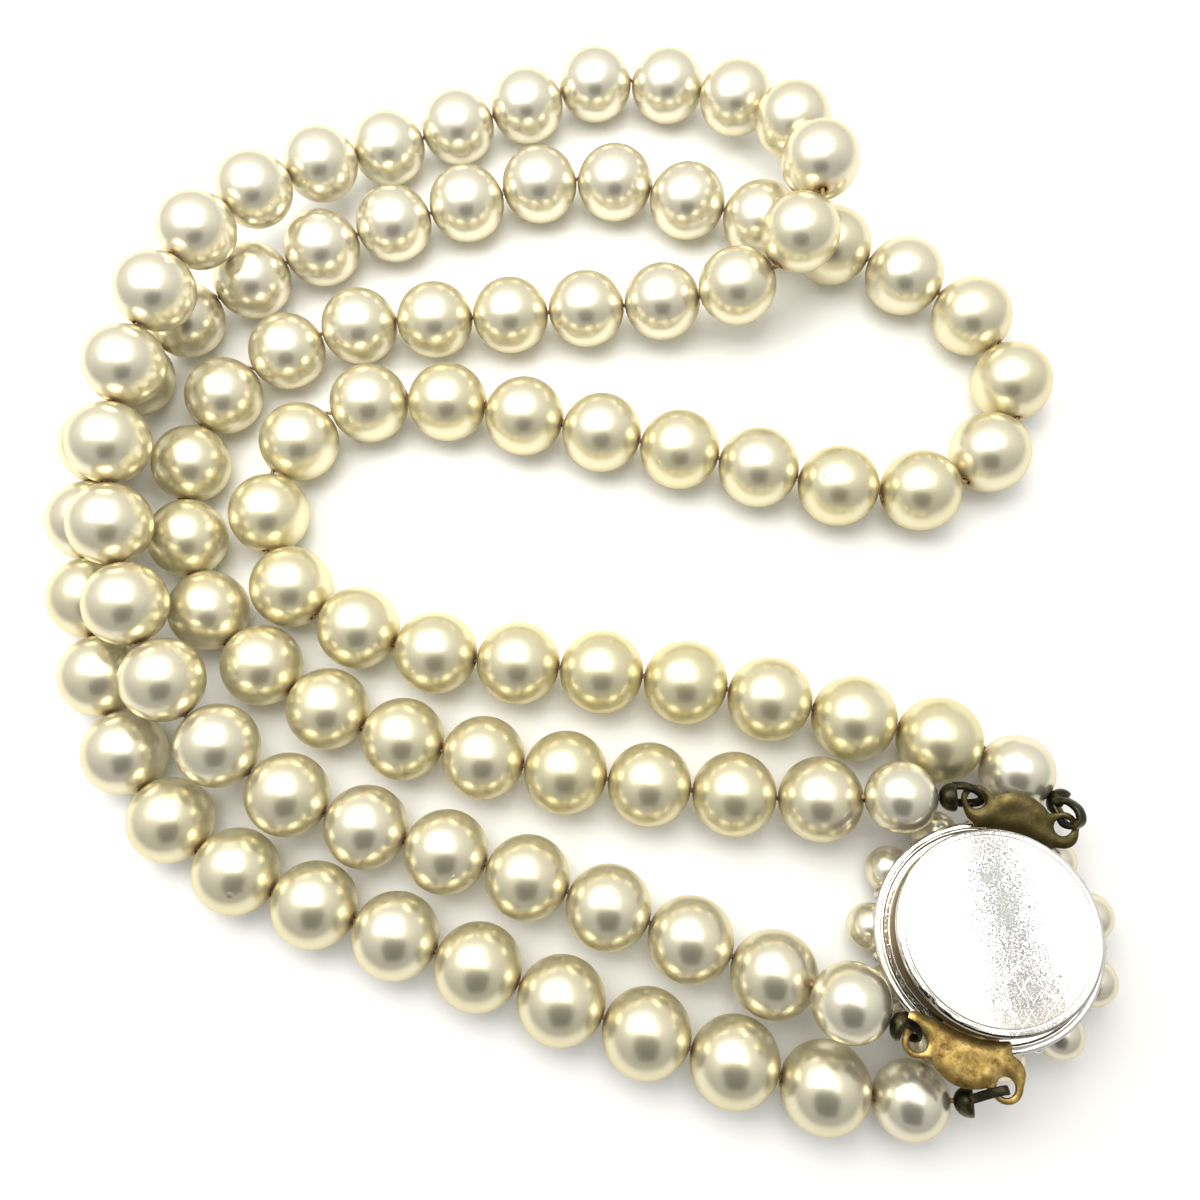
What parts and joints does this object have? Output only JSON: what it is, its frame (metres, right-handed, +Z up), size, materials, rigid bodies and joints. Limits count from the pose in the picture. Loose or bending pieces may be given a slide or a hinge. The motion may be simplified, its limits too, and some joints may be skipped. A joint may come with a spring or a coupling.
{
  "type": "multi strand necklace",
  "caption": "Strands of large cream pearls joined by a round silver box clasp set with small pearls, laid in loops with the clasp face down.",
  "frame": {"origin": "middle of the laid necklace, on the surface it lies on", "axes": "+Z up, +Y along the laid length towards the far loops, +X towards the clasp"},
  "size_m": [0.1019, 0.1112, 0.0163],
  "materials": {
    "pearl": "nacreous cream coat",
    "pearl_white": "nacreous white coat",
    "thread": "twisted golden-brown thread",
    "tarnished_brass": "dark greenish tarnish",
    "tarnished_plate": "dark olive tarnish",
    "gilt_brass": "worn gilding",
    "silver": "polished, finely scratched"
  },
  "bodies": {
    "root": {"strand_a_1": "pearl", "strand_a_2": "pearl", "strand_b_1": "pearl", "strand_b_2": "pearl", "end_bead_1": "pearl_white", "end_bead_2": "pearl_white", "end_bead_3": "pearl_white", "end_bead_4": "pearl_white", "thread_a": "thread", "thread_b": "thread", "bead_tip_1": "tarnished_brass", "bead_tip_2": "tarnished_brass", "bead_tip_3": "tarnished_brass", "bead_tip_4": "tarnished_brass", "end_plate_1": "tarnished_plate", "end_plate_2": "gilt_brass", "clasp_back": "silver", "clasp_front": "silver", "clasp_pearl_01": "pearl_white", "clasp_pearl_02": "pearl_white", "clasp_pearl_03": "pearl_white", "clasp_pearl_04": "pearl_white", "clasp_pearl_05": "pearl_white", "clasp_pearl_06": "pearl_white", "clasp_pearl_07": "pearl_white", "clasp_pearl_08": "pearl_white", "clasp_pearl_09": "pearl_white", "clasp_pearl_10": "pearl_white", "clasp_pearl_11": "pearl_white"}
  },
  "joints": []
}
